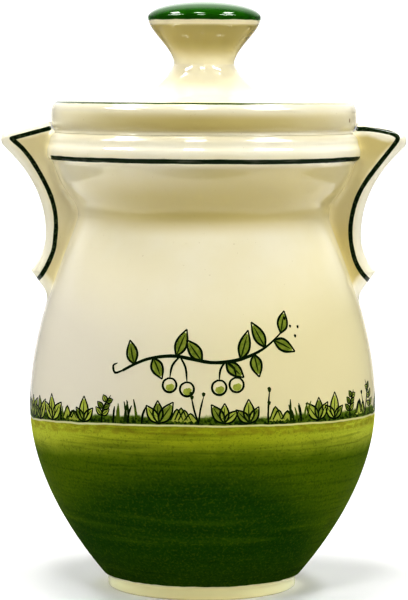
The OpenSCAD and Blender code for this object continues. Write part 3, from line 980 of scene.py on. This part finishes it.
def pot_glaze():
    """Cream above and green below, inside too, the strip and the bare line between them, and the rim band's line."""
    glaze = Glaze("cream_and_green_pot_glaze")
    z, r = glaze.z, glaze.r
    to_right = glaze.x.step(-70, 40)
    colour = pot_cream(glaze, to_right)

    # the green's edge, as in border_height and a little uneven, with a thin line left bare above it
    edge_right = (glaze.x / r * EDGE_TURN).most(-1.0).least(1.0)
    sunk = glaze.off_front.least(EDGE_LEVEL) * (EDGE_SINK - edge_right * EDGE_LESS)
    edge = EDGE_Z - sunk + (glaze.mottle(14, 2) - 0.5) * 1.4
    depth = edge - z
    above_foot = (z + glaze.mottle(9, 2) * 1.2).step(8.0, 8.5)
    in_green = depth.step(0.0, 0.5) * above_foot
    colour = glaze.mixed(in_green, colour, pot_green(glaze, depth, to_right))
    bare = 1 - abs(z - edge - 0.2).step(0.4, 1.2)
    colour = glaze.mixed(bare * (1 - in_green) * 0.5, colour, BARE_LINE)

    # a strip of dabbed leaves stands on the bare line
    above = z - edge
    tall = 2.6 + glaze.mottle(16, 1) * 3.4 + glaze.mottle(2.6, 3) * 2.6
    strip = above.step(0.4, 0.9) * (1 - (above / tall).step(0.75, 1.05))
    light = glaze.mottle(1.7, 3).step(0.38, 0.62) * 0.55 + (above / tall).step(0.35, 1.0) * 0.5
    colour = glaze.mixed(strip, colour, glaze.mixed(light.least(1.0), DAB_DARK, DAB_LIGHT))
    green_share = in_green.most(strip * 0.8)

    # the line round the rim band, which stops where the left lug begins
    line_z = RIM_LINE_Z + (glaze.mottle(30, 1) - 0.5) * 0.8
    line = glaze.brush_line(abs(z - line_z), 1.0 + glaze.mottle(9, 2) * 0.45, 1.15)
    line = line * r.step(79, 80) * (0.8 + glaze.mottle(2, 2, (8, 8, 1)) * 0.4).least(1.0)
    line = line * glaze.x.step(-80.8, -79.8)
    colour = glaze.mixed(line, colour, LINE_GREEN)
    matt = glaze.roughness() + green_share * 0.25
    return glaze.fired(colour, matt, 0.22, (1.0 - green_share * 0.96) * (1 - line * 0.75))


def lug_glaze():
    """Cream with painted shade on the lugs' flat faces and painted light on their edges, with the painted line."""
    glaze = Glaze("cream_lug_glaze")
    off_line = glaze.given("brush_line") * 1000.0
    depth = glaze.given("edge_depth") * 1000.0
    # painted shade on the flat faces, more near their top and foot and on the right lug
    face = (depth + glaze.mottle(9, 2) * 3).step(6, 9) * abs(glaze.y).step(8.5, 9.6)
    to_right = glaze.x.step(-60, 60)
    painted_shade = 0.35 + glaze.z.step(222, 236) * 0.2 + (1 - glaze.z.step(182, 204)) * 0.25 + to_right * 0.35
    colour = glaze.cream(face * painted_shade.least(1.0))
    # painted light on the rounded edges
    colour = glaze.mixed((1 - depth.step(3, 6)) * 0.35, colour, LUG_EDGE_LIGHT)
    line = glaze.brush_line(off_line, 0.9 + glaze.mottle(8, 2) * 0.5)
    line = line * (0.85 + glaze.mottle(1.5, 2) * 0.3).least(1.0)
    return glaze.fired(glaze.mixed(line, colour, LINE_GREEN), glaze.roughness(), 0.22)


def lid_glaze():
    """Cream with painted shade under the lid's rolled edge and on its roll and dome, with the line on its upper edge
    and one small fault.
    """
    glaze = Glaze("cream_lid_glaze")
    z, r, off_front = glaze.z, glaze.r, glaze.off_front
    # painted shade under the rolled edge, less at the sides
    under = z.within(SEAT_Z - 0.2, SEAT_Z + 1.8, SEAT_Z + 6.5, SEAT_Z + 13.5)
    colour = glaze.cream(under * (1.0 - off_front.least(0.6) * (1.5 - glaze.x.step(-40, 40) * 0.4)))
    # painted shade on the roll and on the dome's top
    roll = z.within(LID_EDGE_Z - 6, LID_EDGE_Z - 4, LID_EDGE_Z - 1, LID_EDGE_Z - 0.2) * r.step(70, 76)
    colour = glaze.mixed(roll * 0.5, colour, LID_ROLL_SHADE)
    colour = glaze.mixed(z.step(LID_EDGE_Z - 0.6, LID_EDGE_Z + 0.4) * 0.6, colour, DOME_SHADE)

    off_fault = glaze.add("ShaderNodeVectorMath", {0: glaze.place, 1: FAULT_PLACE}, "Value", operation="DISTANCE")
    fault = 1 - (off_fault + glaze.mottle(1, 2)).step(1.1, 2.0)
    colour = glaze.mixed(fault * 0.8, colour, FAULT_BROWN)

    # the line on the lid's upper edge, fainter towards the right
    line_r = LID_R - LID_LINE_IN + off_front.least(1.0) * 0.5 + (glaze.mottle(26, 1) - 0.5) * 0.6
    line = glaze.brush_line(abs(r - line_r), 0.75 + glaze.mottle(9, 2) * 0.5)
    line = line * z.step(LID_EDGE_Z - 3, LID_EDGE_Z - 2.5) * (1 - glaze.x.step(10, 60) * 0.5)
    return glaze.fired(glaze.mixed(line, colour, LID_LINE_GREEN), glaze.roughness(0.09), 0.2)


def knob_glaze():
    """Cream with painted shade that turns olive up the knob's cone, under a green cap."""
    glaze = Glaze("green_capped_knob_glaze")
    z = glaze.z
    # painted shade up the cone, turning olive, more so on the right
    under = z.within(NECK_Z, NECK_Z + 13, KNOB_WIDE_Z - 5, KNOB_WIDE_Z - 3.2)
    colour = glaze.cream(under)
    colour = glaze.mixed(under * (0.45 + glaze.x.step(-26, 4) * 0.3), colour, CONE_SHADE)
    green = glaze.mixed(glaze.r.step(4, 27), CAP_MIDDLE, CAP_EDGE)
    green = glaze.mixed(glaze.mottle(5, 3).step(0.4, 0.7) * 0.4, green, CAP_DARK)
    cap_z = KNOB_WIDE_Z - GLAZE_DROP
    cap = (z + (glaze.mottle(12, 2) - 0.5) * 0.9).step(cap_z - 0.2, cap_z + 0.3)
    return glaze.fired(glaze.mixed(cap, colour, green), glaze.roughness(0.09, 8, 0.05), 0.16, 1.0 - cap * 0.2)


def brushwork_glaze():
    """Ink that is dark in its lines and olive where it was thinned to a wash."""
    glaze = Glaze("brushwork_under_glaze")
    shade = glaze.given("shade")
    thin = shade + (glaze.mottle(2.2, 3) - 0.5) * 0.5 * shade
    colour = glaze.mixed(thin.step(0.0, 0.35), INK_GREEN, THINNED_GREEN)
    colour = glaze.mixed(thin.step(0.35, 0.7), colour, WASH_GREEN)
    return glaze.fired(colour, glaze.roughness(), 0.22, 0.7)


brush = Brush(23)
fruiting_branch(brush)
border(brush)
brushwork = painted("brushwork", brush, brushwork_glaze())

shared_lug_glaze = lug_glaze()
for piece, body, node, slot, glaze in (
    (pot, "pot", "pot_body", "pot_glaze", pot_glaze()),
    (left_lug, "pot", "left_handle", "lug_glaze", shared_lug_glaze),
    (right_lug, "pot", "right_handle", "lug_glaze", shared_lug_glaze),
    (lid, "lid", "lid", "lid_glaze", lid_glaze()),
    (knob, "lid", "lid_knob", "knob_glaze", knob_glaze()),
):
    piece.data.materials.append(glaze)
    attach(piece, body)
    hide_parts(node)
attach(brushwork, "pot")


# Room and lights
def stage_floor():
    """A pale matt floor that isn't part of the pot."""
    mesh = bpy.data.meshes.new("floor")
    mesh.from_pydata([(-0.45, -0.3, 0), (0.45, -0.3, 0), (0.45, 0.4, 0), (-0.45, 0.4, 0)], [], [(0, 1, 2, 3)])
    material = bpy.data.materials.new("pale_floor")
    material.use_nodes = True
    surface = material.node_tree.nodes["Principled BSDF"]
    surface.inputs["Base Color"].default_value = (0.86, 0.86, 0.86, 1)
    surface.inputs["Roughness"].default_value = 0.9
    mesh.materials.append(material)
    in_scene("floor", mesh)


LAMP_DISTANCE, AIM_HEIGHT = 1.7, 0.2


def soft_light(name, direction, size, power, lights=True, shines=True):
    """A soft box that looks at the pot from a direction (right, towards the camera, up)."""
    data = bpy.data.lights.new(name, "AREA")
    data.shape = "RECTANGLE"
    data.size, data.size_y = size
    data.energy = power
    lamp = in_scene(name, data)
    right, near, up = direction
    way = Vector((right, -near, up)).normalized()
    lamp.location = Vector((0, 0, AIM_HEIGHT)) + way * LAMP_DISTANCE
    lamp.rotation_mode = "QUATERNION"
    lamp.rotation_quaternion = (-way).to_track_quat("-Z", "Y")
    lamp.visible_diffuse = lights
    lamp.visible_glossy = shines


def room_light(front, back, above):
    """White all round for the camera; it lights the pot mostly from the backdrop behind it and above that."""
    world = bpy.data.worlds.new("white_room")
    world.use_nodes = True
    bpy.context.scene.world = world
    tree = Tree(world.node_tree)
    tree.nodes.clear()
    way = tree.add("ShaderNodeTexCoord", out="Generated")
    behind, up = tree.add("ShaderNodeSeparateXYZ", {0: way}, out=(1, 2))
    high = up.within(0.08, 0.25, 0.6, 0.9)
    glow = behind.step(0.2, 0.9) * (high * (above - back) + (back - front)) + front + behind.step(0.9, 0.985) * 0.5
    seen = tree.add("ShaderNodeLightPath", out="Is Camera Ray")
    light = tree.add("ShaderNodeBackground", {"Color": (1, 1, 1, 1), "Strength": glow.most(seen)})
    tree.add("ShaderNodeOutputWorld", {"Surface": light})


stage_floor()
room_light(0.04, 0.23, 0.85)
# Each front soft box is two lamps in one place: one lights the clay, and a taller one shows in the gloss
for name, direction, width, power, shine in (
    ("front_left", (-1.07, 0.35, 1), 0.80, 6.5, 33),
    ("front_middle", (-0.12, 0.84, 1), 0.36, 6.4, 17),
    ("front_right", (0.87, 0.53, 1), 0.80, 9.0, 42),
):
    soft_light(name, direction, (width, 0.28), power, shines=False)
    soft_light(name + "_shine", direction, (width, 0.52), shine, lights=False)
for name, direction, size, power, shines in (
    ("top_left", (-0.555, -0.2, 1), (0.60, 0.30), 8.5, True),
    ("top_middle", (-0.1, 0.1, 1), (0.34, 0.26), 5, True),
    ("top_right", (0.45, -0.09, 1), (0.60, 0.30), 8.5, True),
    ("low_front", (0.0, 1.0, -0.02), (1.5, 0.34), 2.4, False),
    ("low_left", (-1.0, 0.5, -0.02), (0.8, 0.34), 2.0, False),
    ("low_right", (1.0, 0.5, -0.02), (0.8, 0.34), 3.4, False),
):
    soft_light(name, direction, size, power, shines=shines)

bpy.context.scene.view_settings.view_transform = "Standard"
bpy.context.scene.view_settings.look = "High Contrast"
